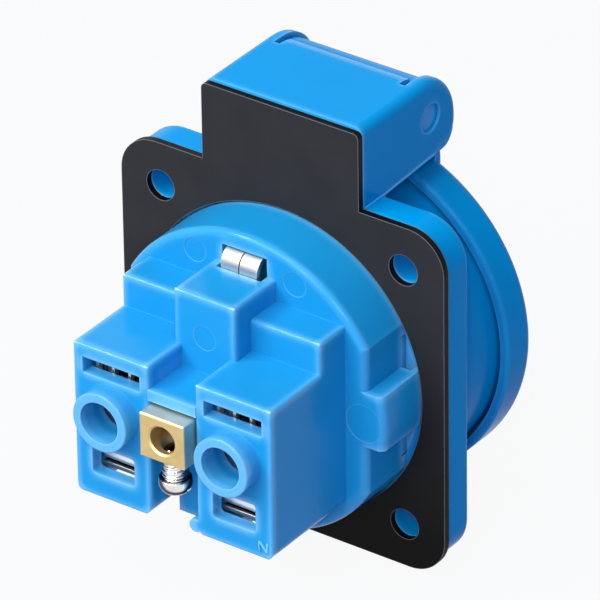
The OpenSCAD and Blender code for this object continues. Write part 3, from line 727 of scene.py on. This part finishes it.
def addThread(mesh, values, bottom, top):
    # a ridge wound round the shank
    half = values["pitch"] * values["ridgeShare"]
    inner, outer = values["shankRadius"] - values["ridgeSink"], values["crestRadius"]
    crest = half * values["crestShare"]
    profile = [(inner, -half), (outer, -crest), (outer, crest), (inner, half)]
    turns = (top - bottom - 2 * half) / values["pitch"]
    corners = [mesh.verts.new((r, 0, bottom + half + z)) for r, z in profile]
    ridge = mesh.faces.new(corners)
    steps = int(turns * values["stepsPerTurn"])
    bmesh.ops.spin(
        mesh, geom=[ridge], cent=(0, 0, 0), axis=(0, 0, 1), dvec=(0, 0, turns * values["pitch"] / steps),
        angle=turns * 2 * math.pi, steps=steps, use_duplicate=False,
    )


def cutSlot(mesh, values, bottom):
    # a driver slot across the underside of the head
    half, floor = values["slotWidth"] / 2, bottom + values["slotDepth"]
    planes = (((0, half, 0), (0, 1, 0)), ((0, -half, 0), (0, 1, 0)), ((0, 0, floor), (0, 0, 1)))
    for place, normal in planes:
        bmesh.ops.bisect_plane(
            mesh, geom=mesh.verts[:] + mesh.edges[:] + mesh.faces[:], dist=values["cutWithin"],
            plane_co=place, plane_no=normal,
        )
    within = []
    for face in mesh.faces:
        middle = face.calc_center_median()
        if abs(middle.y) < half and middle.z < floor:
            within.append(face)
    bmesh.ops.delete(mesh, geom=within, context="FACES")
    rim = [vert for vert in mesh.verts if vert.is_boundary]
    for side in (-half, half):
        wall = [vert for vert in rim if abs(vert.co.y - side) < values["touching"]]
        mesh.faces.new(sorted(wall, key=lambda vert: vert.co.x))
    ends = [vert for vert in rim if abs(vert.co.z - floor) < values["touching"]]
    mesh.faces.new(sorted(ends, key=lambda vert: math.atan2(vert.co.y, vert.co.x)))


def makeScrew(values):
    low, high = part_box("earth_clamp_screw")
    headRadius = (high.x - low.x) / 2
    bottom, top = low.z, high.z
    headTop = bottom + values["headHeight"]
    shank, fillet = values["shankRadius"], values["neckFillet"]
    profile = [(0, top), (shank * values["tipShare"], top), (shank, top - values["tipBevel"])]
    profile += [(shank, headTop + fillet), (shank + fillet, headTop)]
    profile += [(headRadius - inwards, headTop - down) for inwards, down in values["headTopEdge"]]
    profile += [(headRadius - inwards, bottom + up) for inwards, up in values["headLowEdge"]]
    profile.append((0, bottom))
    mesh = bmesh.new()
    turnProfile(mesh, profile, values["sides"])
    cutSlot(mesh, values, bottom)
    addThread(mesh, values, headTop, top - values["threadEnd"])
    middle = (low + high) / 2
    bmesh.ops.translate(mesh, verts=mesh.verts, vec=(middle.x, middle.y, 0))
    piece = finishPiece("threadedScrew", mesh, "screw_zinc", "clamp_screw")
    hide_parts("earth_clamp_screw")


makeScrew(screwValues)
print("clamp screw threaded")


# smooth wire for the lid spring, which winds up between the frame and the lid
springValues = {
    "axis": (-0.0160, 0.0314),  # y and z of the hinge
    "wireRadius": 0.0004,
    "wireSides": 12,
    "coilRadius": 0.00225,
    "coilHalf": 0.00315,
    "turns": 7,
    "frameFoot": (0.0092, -0.008622),  # y and z of each foot's end, from the hinge
    "lidFoot": (-0.001060, -0.004373),
    "stepsPerTurn": 40,
}


def pullTip(mesh, tip, along):
    pulled = bmesh.ops.extrude_face_region(mesh, geom=tip)["geom"]
    corners = [item for item in pulled if isinstance(item, bmesh.types.BMVert)]
    bmesh.ops.translate(mesh, verts=corners, vec=along)
    return [item for item in pulled if isinstance(item, bmesh.types.BMFace)]


def makeSpring(values):
    hinge = Vector((0, *values["axis"]))
    radius, half = values["coilRadius"], values["coilHalf"]
    frameFoot, lidFoot = Vector((0, *values["frameFoot"])), Vector((0, *values["lidFoot"]))
    # the feet run straight off the coil, so each meets it where it is tangent
    frameTurn = math.atan2(frameFoot.z, frameFoot.y) - math.acos(radius / frameFoot.length)
    lidTurn = math.atan2(lidFoot.z, lidFoot.y) + math.acos(radius / lidFoot.length)
    coilStart = Vector((0, radius * math.cos(frameTurn), radius * math.sin(frameTurn)))
    coilEnd = Vector((0, radius * math.cos(lidTurn), radius * math.sin(lidTurn)))
    sweep = lidTurn - frameTurn - 2 * math.pi * values["turns"]
    steps = int(-sweep / (2 * math.pi) * values["stepsPerTurn"])
    place = hinge + Vector((half, 0, 0))
    aim = (coilStart - frameFoot).to_track_quat("Z", "X").to_matrix().to_4x4()
    mesh = bmesh.new()
    bmesh.ops.create_circle(
        mesh, cap_ends=True, segments=values["wireSides"], radius=values["wireRadius"],
        matrix=Matrix.Translation(place + frameFoot) @ aim,
    )
    tip = pullTip(mesh, mesh.faces[:], coilStart - frameFoot)
    wound = bmesh.ops.spin(
        mesh, geom=tip, cent=hinge, axis=(1, 0, 0), dvec=(-2 * half / steps, 0, 0),
        angle=sweep, steps=steps, use_duplicate=False,
    )
    tip = [item for item in wound["geom_last"] if isinstance(item, bmesh.types.BMFace)]
    pullTip(mesh, tip, lidFoot - coilEnd)
    piece = finishPiece("springWire", mesh, "spring_steel", None)
    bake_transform(piece)
    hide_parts("lid_spring")


makeSpring(springValues)
print("lid spring wound")


# narrow bead along the lower edge of each hinge cheek
beadValues = {
    "radius": 0.00026,
    "sides": 10,
    "path": [  # on the +X side, from the flange to the nose
        (0.01206, -0.0014, 0.02512), (0.01206, -0.0060, 0.02512), (0.01206, -0.0124, 0.02546),
        (0.01206, -0.0166, 0.02571), (0.01176, -0.0182, 0.02606),
    ],
}


def addBeads(values):
    for side, name in ((-1, "neutralBead"), (1, "lineBead")):
        points = [Vector((side * x, y, z)) for x, y, z in values["path"]]
        aim = (points[1] - points[0]).to_track_quat("Z", "X").to_matrix().to_4x4()
        mesh = bmesh.new()
        bmesh.ops.create_circle(
            mesh, cap_ends=True, segments=values["sides"], radius=values["radius"],
            matrix=Matrix.Translation(points[0]) @ aim,
        )
        tip = mesh.faces[:]
        for first, second in zip(points, points[1:]):
            tip = pullTip(mesh, tip, second - first)
        finishPiece(name, mesh, "frame_plastic", "socket")


addBeads(beadValues)
print("cheek beads laid")


# corner under the nose of each cheek, which runs from the sharp lower edge into the round front
cornerValues = {
    "half": 0.0122,
    "middle": (-0.0188, 0.0290),  # y and z of the nose's lower round
    "radius": 0.0033,
    "fall": 0.0547,
    "width": 0.00135,
    "lift": 0.00004,
    "sink": 0.00003,
    "straight": [(0.0016, 0.00005), (0.0008, 0.00016)],  # distance behind the round, rounding
    # degrees round the nose, rounding
    "turns": [(0, 0.00016), (12, 0.00026), (26, 0.00050), (42, 0.00086), (58, 0.00116), (74, 0.00130)],
    "arcSteps": 6,
}


def cornerLine(values, rounding, lift):
    # in from the side face, round the edge, along the underside and back through the cheek
    side, down = values["half"] + lift, values["radius"] + lift
    line = [(values["half"] - values["sink"], values["radius"] - values["width"])]
    for step in range(values["arcSteps"] + 1):
        turn = math.pi / 2 * step / values["arcSteps"]
        line.append((side - rounding * (1 - math.cos(turn)), down - rounding * (1 - math.sin(turn))))
    line.append((values["half"] - values["width"], values["radius"] - values["sink"]))
    line.append((values["half"] - values["width"], values["radius"] - values["width"]))
    return line


def addCorners(values):
    y, z = values["middle"]
    stations = []
    for back, rounding in values["straight"]:
        stations.append((0.0, back, -back * values["fall"], rounding))
    for turn, rounding in values["turns"]:
        stations.append((math.radians(turn), 0.0, 0.0, rounding))
    for side, name in ((-1, "neutralCorner"), (1, "lineCorner")):
        mesh = bmesh.new()
        rows = []
        for index, (turn, back, drop, rounding) in enumerate(stations):
            lift = -values["sink"] if index in (0, len(stations) - 1) else values["lift"]
            row = []
            for x, reach in cornerLine(values, rounding, lift):
                behind, up = y + back - reach * math.sin(turn), z + drop - reach * math.cos(turn)
                row.append(mesh.verts.new((side * x, behind, up)))
            rows.append(row)
        for first, second in zip(rows, rows[1:]):
            for index in range(len(first)):
                mesh.faces.new((first[index - 1], first[index], second[index], second[index - 1]))
        mesh.faces.new(rows[0])
        mesh.faces.new(rows[-1])
        finishPiece(name, mesh, "frame_plastic", "socket")


addCorners(cornerValues)
print("cheek corners rounded")


# moulded letter at the foot of the neutral tower
letterValues = {
    "height": 0.0016,
    "capShare": 0.7,
    "stand": 0.00010,
    "place": (-0.0140, 0.024, -0.0124),
}


def addLetter(values):
    curve = bpy.data.curves.new("neutralLetter", "FONT")
    curve.body = "N"
    curve.size = values["height"] / values["capShare"]
    curve.align_x = "CENTER"
    curve.extrude = values["stand"]
    source = bpy.data.objects.new("neutralLetter", curve)
    scene.collection.objects.link(source)
    bpy.context.view_layer.update()
    evaluated = source.evaluated_get(bpy.context.evaluated_depsgraph_get())
    letterMesh = bpy.data.meshes.new_from_object(evaluated)
    bpy.data.objects.remove(source)
    # stands upright on the rear face and reads from behind
    upright = Matrix.Rotation(math.pi, 4, "Z") @ Matrix.Rotation(math.pi / 2, 4, "X")
    letterMesh.transform(Matrix.Translation(values["place"]) @ upright)
    letterMesh.name = "neutralLetter"
    letterMesh.materials.clear()
    letterMesh.materials.append(finishes["body_plastic"])
    letter = bpy.data.objects.new("neutralLetter", letterMesh)
    scene.collection.objects.link(letter)
    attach(letter, "socket")


addLetter(letterValues)
print("letter placed")
